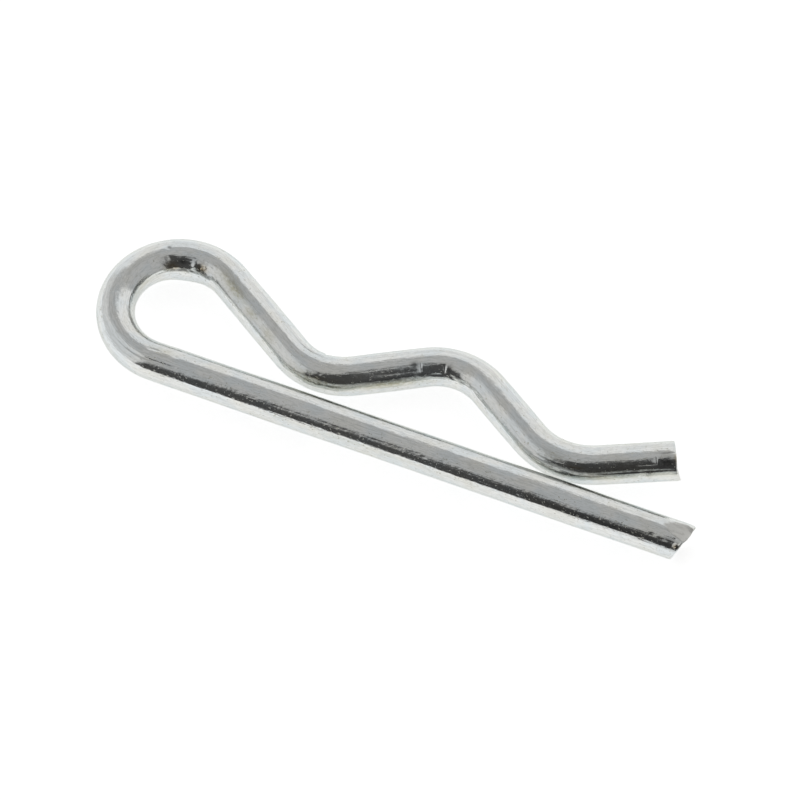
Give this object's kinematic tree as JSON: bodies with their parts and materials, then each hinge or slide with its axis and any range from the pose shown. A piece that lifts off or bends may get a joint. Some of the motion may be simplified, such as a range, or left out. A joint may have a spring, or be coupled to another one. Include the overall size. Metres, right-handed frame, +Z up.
{
  "type": "hitch r clip pin",
  "caption": "Spring clip bent from one round zinc-plated wire: straight leg, open circular bow and a wavy leg that snaps over a cross-drilled shaft.",
  "frame": {"origin": "middle of the bounding box, on the surface the clip lies on", "axes": "+X along the straight leg towards its cut end, +Y towards the wavy leg, +Z up, square to the clip's flat plane"},
  "size_m": [0.0652, 0.0166, 0.004],
  "materials": {
    "zinc_plated_wire": "bright zinc plating over drawn steel wire, with die lines, pits and faint yellow-brown passivation stains"
  },
  "bodies": {
    "root": {"r_clip": "zinc_plated_wire"}
  },
  "joints": []
}
